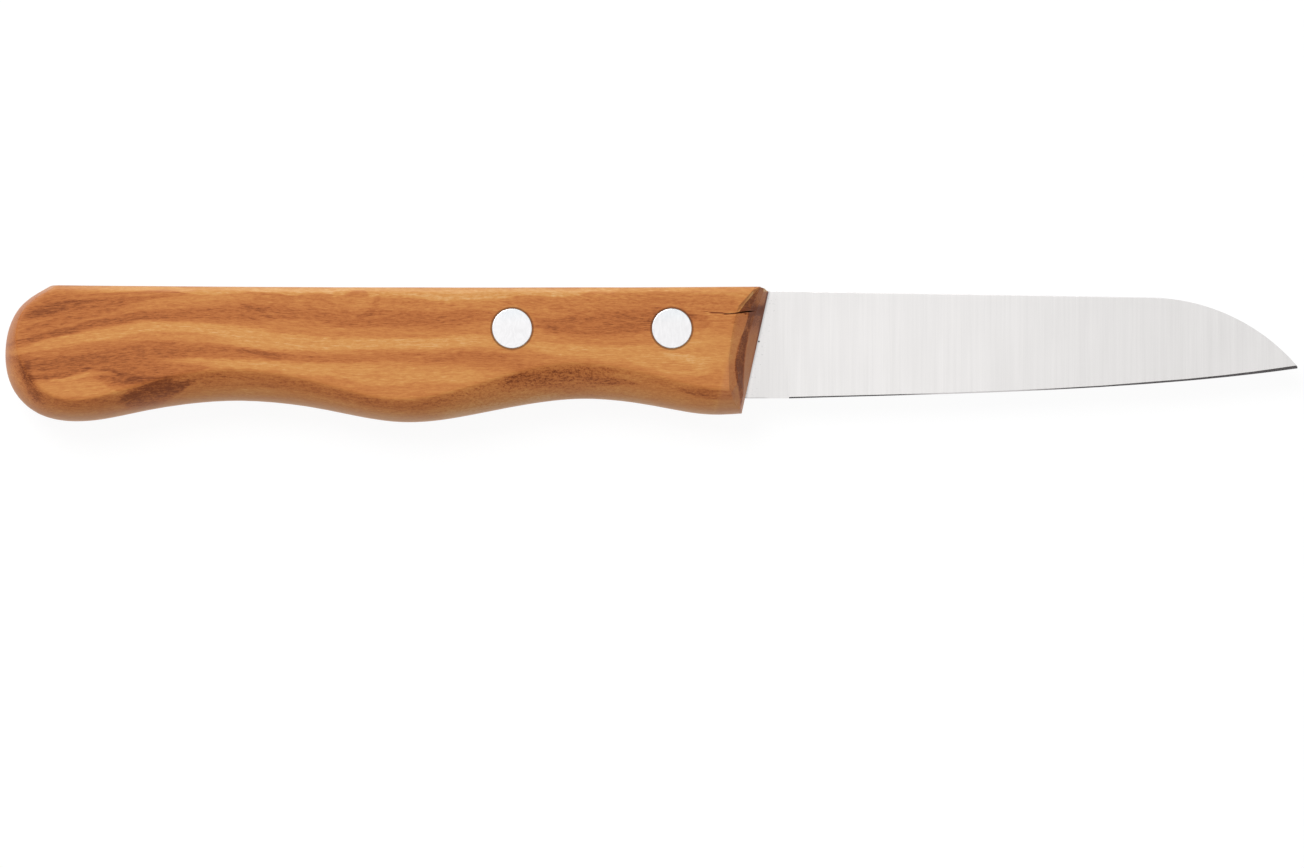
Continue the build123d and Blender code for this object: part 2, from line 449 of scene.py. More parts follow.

# Olive wood figure on the upper side. Each streak is how much lighter (+) or darker (-) it is, and a
# drawn line of points in millimetres: along the knife, up the side and half-width.
STREAKS = (
    # Honey line from the butt to the rear rivet, and the thin tan line beneath it
    (0.27, ((-94.5, 0.0, 0.6), (-90, 1.2, 0.9), (-86, 1.9, 1.1), (-80, 3.0, 1.15), (-75, 3.8, 1.1),
            (-70, 3.9, 1.0), (-66, 3.6, 1.1), (-62, 2.9, 1.4), (-58, 2.3, 1.5), (-54, 1.8, 1.4),
            (-48, 1.4, 1.2), (-42, 1.4, 1.0), (-36, 1.5, 0.95), (-31, 1.6, 1.0), (-27, 1.8, 1.1),
            (-22, 1.7, 1.0))),
    (0.14, ((-82, 1.9, 0.3), (-76, 2.3, 0.45), (-71, 2.4, 0.5), (-66, 2.1, 0.5), (-62, 1.5, 0.4),
            (-58, 1.0, 0.3))),
    # Golden field from the hollow to the hump of the belly
    (0.21, ((-69, -1.1, 0.4), (-64, -1.4, 0.75), (-60, -1.6, 0.8), (-56, -1.9, 0.9), (-52, -2.3, 1.1),
            (-48, -2.5, 1.1), (-44, -2.8, 1.4), (-40, -3.2, 1.7), (-36, -3.2, 1.6), (-32, -3.1, 1.4),
            (-28, -3.3, 1.4), (-24, -3.3, 0.8))),
    # Golden lens at the butt
    (0.17, ((-91.3, -4.6, 0.5), (-88.5, -5.2, 1.2), (-85, -5.2, 1.6), (-82, -5.2, 1.3), (-79, -5.8, 0.3),
            (-77, -6.0, 0.1))),
    # Brown field between that lens and the belly
    (-0.20, ((-83, -2.2, 0.4), (-80, -3.3, 1.4), (-76, -3.0, 1.9), (-72, -2.7, 1.7), (-68.5, -2.3, 1.2),
             (-65, -1.5, 0.6))),
    # Paler upper line of the lens
    (0.18, ((-89, -4.0, 0.2), (-85.5, -3.6, 0.35), (-82.5, -2.9, 0.4), (-80.5, -2.9, 0.4),
            (-78.5, -3.7, 0.3))),
    # Pale strip along the top
    (0.27, ((-85, 9.4, 0.5), (-80, 9.5, 0.6), (-76, 9.6, 0.5), (-71, 9.6, 0.3), (-68, 9.3, 0.5),
            (-64, 9.2, 0.7), (-60, 9.4, 0.45), (-56, 9.4, 0.5), (-53, 9.2, 0.65), (-49, 9.4, 0.6),
            (-46, 9.1, 0.9), (-43.5, 9.6, 0.4), (-40.5, 9.2, 0.9), (-36, 9.1, 0.8), (-32, 8.7, 1.1),
            (-27, 8.6, 1.2), (-22, 8.8, 0.95), (-18, 9.1, 0.7), (-13, 8.9, 0.8), (-8, 9.5, 0.4),
            (-4, 9.3, 0.5), (1, 9.6, 0.2))),
    # Dark lines under that strip at the butt, in a brown field
    (-0.10, ((-91, 7.6, 0.3), (-88.5, 8.1, 0.4), (-85, 8.5, 0.25), (-80, 8.7, 0.2), (-75, 9.0, 0.2),
             (-70, 9.1, 0.2), (-67, 9.3, 0.15))),
    (-0.09, ((-92.5, 5.6, 0.5), (-90.5, 6.1, 0.9), (-88.5, 6.8, 1.0), (-86.5, 7.3, 0.8), (-84.5, 7.5, 0.5),
             (-82.5, 7.7, 0.3))),
    (-0.14, ((-93, 5.6, 0.8), (-89, 6.5, 1.3), (-84, 7.1, 1.2), (-79, 7.5, 1.0), (-75, 8.2, 0.5),
             (-71, 8.6, 0.3))),
    (-0.10, ((-93, 3.0, 0.5), (-89, 4.3, 0.8), (-85, 5.3, 0.7), (-80, 6.3, 0.5), (-77, 6.8, 0.4))),
    # Light band above the russet one
    (0.08, ((-79, 6.6, 0.4), (-75, 7.3, 0.7), (-71, 7.9, 0.8), (-66, 8.1, 0.5), (-61, 8.4, 0.3))),
    # Russet band above the honey line
    (-0.19, ((-95, 1.3, 0.4), (-91, 2.2, 0.6), (-87, 3.1, 0.7), (-83, 4.2, 0.7), (-79, 4.9, 0.7),
             (-75, 5.6, 0.9), (-70, 5.6, 1.3), (-66, 5.7, 1.5), (-62, 6.0, 1.6), (-58, 5.9, 1.6),
             (-54, 6.0, 1.2), (-50, 5.8, 1.2), (-46, 5.1, 1.5), (-40, 5.1, 1.7), (-36, 5.0, 1.6),
             (-31, 4.9, 1.6), (-27, 5.4, 1.4), (-23, 5.3, 1.0))),
    # Brown band under the honey line, thinner beyond the hollow
    (-0.19, ((-94, -0.6, 0.6), (-91, -1.6, 1.3), (-87, -1.4, 1.4), (-83, -0.9, 1.3), (-79, -0.4, 1.7),
             (-75, 0.2, 1.8), (-71, 0.4, 1.5), (-67, 0.4, 1.3), (-63, 0.3, 1.1), (-59, 0.1, 0.85),
             (-55, -0.35, 0.7))),
    (-0.12, ((-59, 0.1, 0.85), (-55, -0.45, 0.7), (-50, -0.85, 0.6), (-46, -0.8, 0.7), (-41, -0.6, 0.7),
             (-36, -0.5, 0.8), (-31, -0.6, 1.0), (-27, -0.6, 1.1), (-23, -0.8, 1.1), (-18, -1.1, 0.7))),
    (-0.05, ((-73, 1.5, 0.2), (-66, 1.3, 0.25), (-60, 0.7, 0.3), (-57, -0.1, 0.5), (-53, -0.6, 0.45),
             (-49, -0.9, 0.4), (-45, -1.0, 0.3))),
    (-0.05, ((-37, -1.3, 0.2), (-33, -1.3, 0.3), (-30, -0.6, 0.6), (-26, -0.4, 0.7), (-22, -0.8, 0.6))),
    # Dark line over the lens and the patch beside it
    (-0.20, ((-92, -3.5, 0.4), (-88, -3.3, 0.5), (-85, -2.7, 0.4), (-82.5, -2.1, 0.2))),
    (-0.12, ((-82, -1.9, 0.4), (-80, -2.6, 0.7), (-78, -3.6, 0.9), (-76, -3.9, 0.9), (-73.5, -3.9, 0.7),
             (-70.5, -3.4, 0.5))),
    # Curl below the top strip, and the mottles before it
    (-0.12, ((-43.6, 5.3, 0.3), (-42.2, 5.8, 0.5), (-41.2, 6.5, 0.8), (-40.6, 7.5, 1.0), (-40.1, 8.6, 1.0),
             (-39.7, 9.5, 0.6))),
    (0.07, ((-44.4, 6.9, 0.4), (-43.2, 7.3, 0.9), (-42.2, 7.6, 1.1), (-41.3, 8.3, 0.8), (-40.7, 9.1, 0.5))),
    (-0.08, ((-60, 6.5, 0.4), (-58.3, 7.2, 1.1), (-56.8, 7.4, 0.7))),
    (-0.08, ((-56.6, 7.2, 0.5), (-55.2, 7.9, 1.1), (-54.0, 7.9, 1.0), (-52.6, 8.0, 0.4))),
    (-0.08, ((-51.6, 7.3, 0.3), (-49.6, 7.7, 0.8), (-47.4, 6.9, 0.6), (-45.6, 6.4, 0.5), (-44.2, 5.8, 0.3))),
    # Light dash before the rear rivet
    (0.09, ((-37, 8.2, 0.3), (-32, 8.2, 0.5), (-26.5, 8.1, 0.3))),
    # Russet field between the rivets, its end towards the nose, and the browner one over both
    (-0.25, ((-17.4, 4.4, 0.6), (-14, 4.2, 1.5), (-10, 4.2, 2.0), (-5, 4.4, 2.2), (-1.5, 4.8, 2.2),
             (2, 5.4, 1.6), (5, 5.6, 1.0), (7, 5.2, 0.5))),
    (-0.12, ((5.5, 5.0, 1.2), (7.5, 4.8, 1.2), (9, 4.8, 0.2), (11.5, 4.9, 0.2), (13, 4.9, 1.0),
             (15, 4.8, 0.8))),
    (-0.08, ((-20, 7.4, 0.3), (-15, 7.0, 1.0), (-9, 6.8, 1.3), (-3, 6.9, 1.2), (2, 7.5, 1.0), (8, 7.1, 1.4),
             (13, 7.1, 0.9))),
    # Honey lines from the rear rivet down to the nose
    (0.18, ((-19.6, 0.9, 0.4), (-17, 1.0, 0.8), (-14, 0.5, 1.1), (-11, 0.4, 1.2), (-8, 0.2, 1.2),
            (-5, 0.0, 1.3), (-2, -0.2, 1.2), (1, -0.4, 1.0), (5, -0.8, 0.8), (10, -1.2, 1.2))),
    (0.14, ((-3, -1.2, 0.3), (1, -1.9, 0.9), (4, -2.4, 1.3), (7, -2.4, 1.0), (9, -2.4, 0.4))),
    # Light line along the top at the nose
    (0.12, ((1, 9.5, 0.3), (5, 9.4, 0.5), (10, 9.3, 0.8), (13, 9.2, 1.0), (15, 9.2, 0.9))),
    # Honey field before the nose, and its brighter upper line
    (0.12, ((2, 0.2, 0.8), (5, 0.4, 1.8), (8, 1.0, 3.2), (12, 0.6, 4.4), (14, 0.5, 4.6))),
    (0.10, ((-3, 0.9, 0.3), (0, 0.9, 0.5), (3, 0.8, 0.6), (6, 1.3, 0.6), (9, 1.5, 0.6))),
    # Brown lines over the belly's hollows
    (-0.12, ((-21, -1.8, 0.5), (-17, -2.4, 0.9), (-13, -2.3, 0.8), (-9, -2.4, 0.6), (-5, -2.6, 0.4))),
    (-0.07, ((-48, -2.2, 0.5), (-43, -2.8, 1.0), (-38, -3.0, 1.3), (-33, -3.0, 1.3), (-28, -2.6, 0.6))),
    # Stain along the crack
    (-0.45, ((7.2, 6.25, 0.05), (9.4, 6.05, 0.08), (11.5, 5.88, 0.12), (13.2, 6.1, 0.3), (14.4, 6.1, 0.6),
             (15.6, 6.2, 0.75), (16.8, 6.8, 0.5))),
)

# Stains that only the belly's cut shows, and two lighter lines along its outline that are a painted
# reflection
BELLY_STAINS_AND_SHEEN = (
    (-0.34, ((-78.5, -7.0, 0.9), (-76, -6.6, 1.9), (-74, -6.2, 2.3), (-72, -5.7, 1.9), (-70, -5.0, 1.1),
             (-68, -4.3, 0.4))),
    (-0.13, ((-70, -5.0, 1.6), (-66, -4.3, 1.6), (-62, -4.1, 1.5), (-58, -4.0, 1.3), (-53, -4.5, 1.2),
             (-48, -5.5, 1.0), (-43, -6.9, 0.8), (-38, -7.6, 0.8), (-33, -7.6, 0.8), (-29, -7.0, 0.4))),
    (-0.24, ((-22, -4.2, 0.6), (-18, -4.2, 1.5), (-13, -4.2, 1.7), (-9, -4.0, 1.3), (-5, -4.1, 0.6),
             (-2, -4.5, 0.3))),
    # Lighter lines along the belly's outline: a painted reflection
    (0.24, ((-31, -9.3, 0.4), (-27, -8.8, 0.8), (-23, -7.9, 0.8), (-18, -6.9, 0.6), (-14, -6.2, 0.3))),
    (0.10, ((-8, -6.2, 0.3), (-4, -6.7, 0.5), (1, -7.6, 0.4))),
    (-0.20, ((4, -5.2, 0.3), (7, -5.8, 0.7), (10, -5.9, 1.0), (12.5, -6.0, 0.4))),
)


# How the fibre bends up and down along the handle, and by how many millimetres at most
GRAIN_FLOW = ((0.0, 0.35), (0.12, 0.55), (0.24, 0.68), (0.36, 0.58), (0.46, 0.50), (0.60, 0.55),
              (0.75, 0.48), (1.0, 0.42))
GRAIN_BEND = 7.0

# A curve node holds values from 0 to 1, so widths are scaled up for it and ridges down
WIDTH_SCALE = 8
RIDGE_SCALE = 4

HANDLE_LENGTH = (handle_high.x - handle_low.x) / MM
HANDLE_TALL = (handle_high.y - handle_low.y) / MM

# The looks' places are in millimetres, as numbers or as sockets


def along_share(x):
    """How far along the handle a place is, from 0 at the butt to 1 at the nose."""
    return (x - handle_low.x / MM) / HANDLE_LENGTH


def tall_share(y):
    """How far up the handle's side a place is, from 0 to 1."""
    return (y - handle_low.y / MM) / HANDLE_TALL


def behind_nose(x, y):
    """How far a place is behind the nose's slanted line."""
    return nose_x_at(0) / MM + y * NOSE_SLANT - x


def distance(x, y, centre_x, centre_y):
    """How far a place is from a centre on the knife's side."""
    across = x - centre_x
    up = y - centre_y
    return (across * across + up * up).power(0.5)


def streak_field(paint, along, height, points):
    """1 on a streak's line and 0 past its half-width, with soft edges and ends."""
    shares = [(along_share(x), tall_share(y), width / HANDLE_TALL) for x, y, width in points]
    line = paint.curve(along, [(x, y) for x, y, width in shares])
    width = paint.curve(along, [(x, width * WIDTH_SCALE) for x, y, width in shares]) / WIDTH_SCALE
    side = 1 - (abs(height - line) / width).rise(0.45, 1.15)
    start, end = shares[0][0], shares[-1][0]
    fade = (end - start) / 8
    return side * along.rise(start - fade, start + fade) * (1 - along.rise(end - fade, end + fade))


# Ridges of the nose's cuts: height on the side, then how far the outer and the inner ridge lie behind
# the nose's line
NOSE_RIDGES = ((-9.2, 0.33, 0.16), (-7.2, 0.55, 0.24), (-5.8, 1.05, 0.4), (-3.8, 1.9, 0.8), (-1.6, 2.62, 1.2),
               (0.4, 2.75, 1.45), (2.5, 2.6, 1.5), (4.2, 2.3, 1.45), (5.6, 2.3, 1.2), (6.4, 2.3, 0.6))


def nose_ridge(paint, height, column):
    """How far one ridge of the nose's cuts lies behind the nose's line."""
    points = [(tall_share(ridge[0]), ridge[column] / RIDGE_SCALE) for ridge in NOSE_RIDGES]
    return paint.curve(height, points) * RIDGE_SCALE


def nose_tone(paint, x, y, height):
    """How much darker the nose's cuts are: partly their own wood, partly painted shade on the cuts turned
    from the light and along the lip by the blade, with painted light on the broken corner and beside the
    triangle over the crack, and darker wood under the drying crack.
    """
    behind = behind_nose(x, y)
    outer = nose_ridge(paint, height, 1)
    inner = nose_ridge(paint, height, 2)
    chips = (paint.noise(x * 0.9, y * 0.7, height, detail=3.0) - 0.5) * 0.26
    blotch = paint.noise(x * 0.7, y * 0.5, height, detail=2.0) - 0.5
    gentle = 1 - behind.rise(4.0, 4.4)
    past_inner = (behind + chips - inner).rise(-0.16, 0.20)
    steep = (outer - behind + chips).rise(-0.14, 0.14) * past_inner
    outermost = 1 - past_inner
    # The triangle over the crack ends at a slanted line that bends
    over = y - 6.1
    top = y.rise(6.1, 6.3)
    above = top * (1 - (behind - 3.75 + over * 0.47 + over * over * 0.04).rise(-0.06, 0.06))
    # Painted light lifts the strip of the cut beside the triangle's line, where the cut's own shading would
    # show
    lit_beside = top * (1 - (behind - 3.95 + over * 0.52).rise(-0.06, 0.06)) * 0.26
    centre = (1 - behind.rise(1.2, 2.2)) * y.rise(6.6, 7.6)
    # The broken corner faces up to the light and gets painted light
    lit_chip = y.rise(9.05, 9.25) * (1 - behind.rise(0.75, 0.95))
    # Painted shade darkens the lip along the blade
    lip_shade = (1 - behind.rise(0.10, 0.34)) * y.rise(-5.0, 4.0) * (1 - lit_chip)
    # Under the crack the wood is darker down to the middle of the nose
    under_crack = (1 - behind.rise(2.2, 3.0)) * (y + blotch * 1.5).rise(2.2, 5.2)
    foot = 1 - y.rise(-5.0, -1.5)
    below = steep * (blotch * 0.36 - 0.51 + under_crack * 0.22 + foot * 0.10)
    below = below - outermost * (0.02 + under_crack * 0.34) + gentle * (1 - steep) * (0.02 + foot * 0.07) + lit_beside
    return above * (centre * 0.20 - 0.40 + blotch * 0.3 + lit_chip * 0.75) + (1 - above) * below - lip_shade * 0.45


def belly_tone(paint, x, y, z, side, along, height, pits):
    """How much lighter the belly's cut is: painted shade by its arris, pitted between the rivets, lighter at
    its rim by a painted reflection, with its stains.
    """
    rough_patch = x.rise(-36.0, -28.0) * (1 - x.rise(-8.0, 0.0))
    stain = paint.noise(x * 0.16, y * 0.5, z * 0.5, detail=2.0) - 0.5
    # Painted shade darkens the cut next to the arris, and a painted reflection lightens it towards the rim
    cut = 0.13 - side.rise(0.60, 0.93) * 0.19 + (1 - side.rise(0.10, 0.50)) * 0.22 + stain * 0.26
    cut = cut - pits.rise(0.60, 0.68) * rough_patch * 0.25 + (pits - 0.5) * (rough_patch * 0.7 + 0.5)
    for strength, points in BELLY_STAINS_AND_SHEEN:
        cut = cut + streak_field(paint, along, height, points) * strength
    return cut


def butt_roll_shade(x, y):
    """1 on the ring along which the butt rolls over, where painted shade darkens it."""
    ring = abs(distance(x, y, -82.0, -0.5) - 10.6)
    roll = (1 - ring.rise(0.3, 1.4)) * (1 - y.rise(-3.0, 0.8)) * y.rise(-8.6, -6.6)
    return roll * (1 - x.rise(-91.0, -88.0))


def arris_sheen(paint, x):
    """How much a painted reflection of the white surroundings lightens the rounded upper arris and the
    belly's outline.
    """
    upward = paint.facing("Normal")[1]
    fading = 1 - x.rise(-22.0, 6.0) * 0.75
    top_sheen = upward.rise(0.15, 0.60) * (1 - upward.rise(0.93, 0.99)) * fading * x.rise(-91.0, -88.0) * 0.22
    return top_sheen + (0 - upward).rise(0.80, 0.99) * x.rise(-94.0, -86.0) * 0.42


def olive_wood(wood):
    """Oiled olive wood: drawn streaks, fibre, curl and pores through the whole thickness."""
    paint = new_paint("olive_wood")
    x, y, z = paint.millimetres()
    half = handle_high.z / 2 / MM
    # 1 on either flat side and 0 on the middle plane
    side = abs(z - half) / half
    # The figure leans as it goes through to the far side
    depth = 1 - (z / (2 * half)).rise(0.0, 0.55)
    wander = paint.noise(x * 0.05, y * 0.16, z * 0.16, detail=1.0) - 0.5
    ripple = paint.noise(x * 0.22, y * 0.5, z * 0.5, detail=3.0) - 0.5
    fringe = paint.noise(x * 0.35, y * 5.0, z * 5.0, detail=2.0) - 0.5
    along = along_share(x) + depth * 0.16 + fringe * 0.012
    plain_height = tall_share(y)
    height = plain_height + depth * (wander * 0.5 + 0.10) + ripple * 0.035 + fringe * 0.022
    # The butt end is a little darker, as painted shade where its surface rolls over
    tone = wander * 0.12 + 0.46 - (1 - x.rise(-88.0, -62.0)) * 0.11
    for strength, points in STREAKS:
        tone = tone + streak_field(paint, along, height, points) * strength
    bent = y - paint.curve(along, GRAIN_FLOW) * GRAIN_BEND
    fibre = paint.noise(x * 0.12, bent * 2.2, z * 2.2, detail=4.0, roughness=0.62) - 0.5
    hair = paint.noise(x * 0.8, bent * 6.0, z * 6.0, detail=3.0, roughness=0.75) - 0.5
    mottle = paint.noise(x * 1.1, y * 1.6, z * 1.6, detail=4.0, roughness=0.7) - 0.5
    curl = paint.noise(x * 1.3 + y * 0.9, y * 2.6 - x * 0.5, z * 2.0, detail=2.0) - 0.5
    curly = y.rise(3.5, 6.5) * x.rise(-68.0, -60.0)
    wave = paint.noise(x * 0.30 - y * 0.10, y * 3.2 + x * 0.95, z * 3.0, detail=2.0) - 0.5
    waving = y.rise(4.5, 6.5) * x.rise(-20.0, -15.0) * (1 - x.rise(-5.0, 3.0))
    tone = tone + fibre * 0.36 + hair * 0.85 + mottle * 0.24 + curl * curly * 0.30 + wave * waving * 0.34
    pores = paint.noise(x * 0.9, bent * 6.5, z * 6.5, detail=1.0).rise(0.68, 0.80)
    # The belly's cut lies below the arris and ends before the nose
    low = 1 - (y - x.rise(-92.0, -84.0) * 3.0).rise(-3.5, 0.0)
    belly = (1 - side.rise(0.965, 0.985)) * low * (1 - x.rise(12.0, 13.4))
    pits = paint.noise(x * 2.2, y * 2.8, z * 2.8, detail=2.0, roughness=0.8)
    # The belly's cut takes its own tone, with painted shade by the arris and a painted reflection at its rim
    tone = tone + belly * belly_tone(paint, x, y, z, side, along, plain_height, pits)
    # Painted shade darkens the butt's roll; pores darken and the nose's cuts add their tone
    tone = tone - butt_roll_shade(x, y) * 0.22 - pores * 0.14 + nose_tone(paint, x, y, plain_height)
    stops = [(0.0, wood.umber), (0.24, wood.russet), (0.48, wood.tan), (0.72, wood.honey), (1.0, wood.straw)]
    base = paint.ramp(tone, stops)
    # A painted reflection lightens the rounded upper arris and the belly's outline
    base = paint.blend(arris_sheen(paint, x), base, opaque(wood.rim_sheen))
    # Cut across the grain, the nose is rosier, and a greyer painted sheen lies over the belly's cut towards
    # its outline
    rosy = (1 - behind_nose(x, y).rise(3.3, 4.3)) * (1 - y.rise(5.4, 6.2)) * tone.rise(0.05, 0.35)
    base = paint.blend(rosy * 0.32, base, opaque(wood.rosy))
    base = paint.blend(belly * (1 - side.rise(0.30, 0.90)) * 0.42, base, opaque(wood.belly_sheen))
    # A dark seam runs round each rivet head
    for name, centre_x, centre_y in rivet_centres():
        radius = distance(x, y, centre_x / MM, centre_y / MM)
        ring = 1 - abs(radius - HEAD_RADIUS / MM - 0.14).rise(0.04, 0.20)
        base = paint.blend(ring * 0.60, base, opaque(wood.seam))
    height_map = fibre * 0.5 + hair * 0.5 - pores * 0.6 - belly * (pits - 0.5)
    normal = paint.bump(height_map, 0.25, 0.05 * MM)
    rough = 0.40 + fibre * 0.10 + pores * 0.15
    return paint.surface(base_color=base, roughness=rough, normal=normal, specular_ior_level=0.18)


def fill_openings(body, half_slot):
    """Joins plugs into the slot and the bores, so that the wood's mesh can be evened."""
    heel_y = blade_low.y
    top_y = NOSE_TOP_Y - PLUG_MARGIN
    end_x = blade_low.x - PLUG_MARGIN
    corners = [(end_x, top_y), (end_x, TANG_LOW_Y - PLUG_MARGIN), (nose_x_at(heel_y), heel_y),
               (nose_x_at(top_y), top_y)]
    low, high = mid_z - half_slot - PLUG_MARGIN, mid_z + half_slot + PLUG_MARGIN
    plugs = [prism("slot_plug", corners, low, high)]
    for name, x, y in rivet_centres():
        plugs.append(cylinder(f"{name}_plug", HEAD_RADIUS + PLUG_MARGIN, x, y, handle_low.z, handle_high.z))
    activate(body, *plugs)
    bpy.ops.object.join()


def sand(body, wood):
    """Evens the mesh, softens the arrises and leaves the waves of hand sanding."""
    apply_modifier(body, "REMESH", mode="VOXEL", voxel_size=wood.mesh_step)
    apply_modifier(body, "SMOOTH", factor=0.5, iterations=wood.sanding_passes)
    waves = bpy.data.textures.new("hand_waves", "CLOUDS")
    waves.noise_scale = WAVE_LENGTH
    apply_modifier(
        body, "DISPLACE", texture=waves, texture_coords="LOCAL", strength=wood.hand_wave, mid_level=1.0
    )


def recut_nose(body):
    """Cuts the nose's flats again, so that they stay crisp on the sanded handle."""
    select_faces(body, lambda centre, normal: centre.x > NOSE_ROOT_X)
    bpy.ops.transform.resize(value=(NOSE_STRETCH, 1, 1), center_override=(NOSE_ROOT_X, 0, 0))
    leave_edit_mode()
    gauge = merged_copy("handle", "nose_gauge")
    bpy.ops.object.mode_set(mode="EDIT")
    bpy.ops.mesh.select_all(action="SELECT")
    bpy.ops.transform.resize(value=(1, GAUGE_EASE, GAUGE_EASE), center_override=(0, 0, mid_z))
    leave_edit_mode()
    low_y, high_y = handle_low.y - WASTE_OVER, handle_high.y + WASTE_OVER
    end_x = handle_high.x + WASTE_OVER
    corners = [(NOSE_CUTS_X, low_y), (end_x, low_y), (end_x, high_y), (NOSE_CUTS_X, high_y)]
    waste = prism("nose_waste", corners, handle_low.z - WASTE_OVER, handle_high.z + WASTE_OVER)
    carve(waste, gauge)
    carve(body, waste)


def saw_slot(body, half_slot):
    """Saws the tang's slot, open along the top and at the nose."""
    heel_x, heel_y = nose_x_at(blade_low.y), blade_low.y
    end_x = blade_low.x - SLOT_END_GAP
    top_y = NOSE_TOP_Y + BEYOND
    corners = [(end_x, top_y), (end_x, TANG_LOW_Y), (heel_x - SLOT_RUN_OUT, heel_y),
               (heel_x + BEYOND, heel_y), (handle_high.x + BEYOND, top_y)]
    carve(body, prism("slot_cutter", corners, mid_z - half_slot, mid_z + half_slot))


def bore_rivet_holes(body, gap):
    """Bores a flat-bottomed seat for each rivet head and a hole for each shank."""
    low, high = handle_low.z, handle_high.z
    for name, x, y in rivet_centres():
        carve(body, cylinder("bore", HEAD_RADIUS + gap, x, y, high - HEAD_DEPTH, high + BEYOND))
        carve(body, cylinder("bore", HEAD_RADIUS + gap, x, y, low - BEYOND, low + HEAD_DEPTH))
        carve(body, cylinder("bore", SHANK_RADIUS + gap, x, y, low, high))


def carve_outline(body, name, outline, floor_z):
    """Carves an outline from above the handle down to a height."""
    carve(body, prism(name, [(x * MM, y * MM) for x, y in outline], floor_z, handle_high.z + MM))


class KNIFE_OT_handle(bpy.types.Operator):
    """Model the sanded wooden handle with its slot, bores and drying crack"""

    bl_idname = "knife.handle"
    bl_label = "Handle"

    def execute(self, context):
        wood = context.scene.knife_handle
        half_slot = wood.slot_width / 2
        body = merged_copy("handle", "handle_wood")
        fill_openings(body, half_slot)
        sand(body, wood)
        recut_nose(body)
        saw_slot(body, half_slot)
        bore_rivet_holes(body, wood.bore_gap)
        carve_outline(body, "crack", CRACK, mid_z + half_slot + CRACK_FLOOR)
        carve_outline(body, "corner", BROKEN_CORNER, -MM)
        activate(body)
        bpy.ops.object.shade_smooth_by_angle(angle=SMOOTH_ANGLE)
        select_faces(body, lambda centre, normal: centre.x > NOSE_CUTS_X and normal.x > 0.2)
        bpy.ops.mesh.faces_shade_flat()
        leave_edit_mode()
        finish_piece(body, olive_wood(wood), "olive_wood", "handle")
        return {"FINISHED"}


# Blade

# The grind's last points below the spine lie between these places and above this height
GRIND_END_X = (18.5 * MM, 19.4 * MM)
GRIND_END_Y = 9.17 * MM
FLAT_ANGLE = math.radians(0.3)
CREASE_ANGLE = math.radians(10)


def ground_steel(blade):
    """Cross-ground stainless steel with a sharpened bevel of darker polish, partly a painted reflection."""
    paint = new_paint("ground_steel")
    x, y, z = paint.millimetres()
    lines = paint.noise(x * 2.7, y * 0.05, z * 0.2, detail=2.0, roughness=0.8) - 0.5
    bands = paint.noise(x * 0.6, y * 0.02, z * 0.2, detail=2.0) - 0.5
    cloud = paint.noise(x * 0.07, y * 0.12, z * 0.1, detail=2.0) - 0.5
    bright = 1 + lines * 0.12 + bands * 0.05 + cloud * 0.05 - x.rise(32.0, 88.0) * 0.07
    # A painted shade runs as a dark line along the heel's unsharpened edge, for its shaded edge face
    heel_shade = (1 - (y - blade_low.y / MM).rise(0.10, 0.24)) * (1 - x.rise(16.5, 17.5))
    bright = bright - heel_shade * 0.22
    # The unground strip by the wood is whiter, with a few specks and one dark spot, and a painted shadow
    # darkens the steel right by the wood
    off = x - y * NOSE_SLANT - nose_x_at(0) / MM
    strip = 1 - off.rise(1.2, 1.9)
    specks = paint.noise(x * 4.0, y * 4.0, z, detail=1.0).rise(0.66, 0.74)
    spot = 1 - distance(x, y, 15.9, 1.8).rise(0.08, 0.18)
    bright = bright + strip * (0.02 - specks * 0.20) - spot * 0.8 - (1 - off.rise(0.05, 0.35)) * 0.25
    flat = paint.tint(paint.vector(bright, bright, bright), blade.steel)
    upward, through = paint.facing("True Normal")[1:]
    sharpened = (1 - abs(through).rise(0.965, 0.985)) * (1 - upward.rise(-0.05, 0.0)) * x.rise(16.0, 18.0)
    # Its middle stretch is hazier and throws back more of the surroundings
    haze = x.rise(34.0, 44.0) * (1 - x.rise(52.0, 64.0))
    # The bevel's darker colour is partly real polish and partly a painted reflection of dark surroundings
    base = paint.blend(sharpened * (1 - haze * 0.7), flat, opaque(blade.polish_and_reflection))
    rough = 0.30 + lines * 0.10 - sharpened * 0.14 + sharpened * haze * 0.40
    normal = paint.bump(lines + bands * 0.3, 0.12, 0.02 * MM)
    return paint.surface(base_color=base, metallic=1.0, roughness=rough, normal=normal)


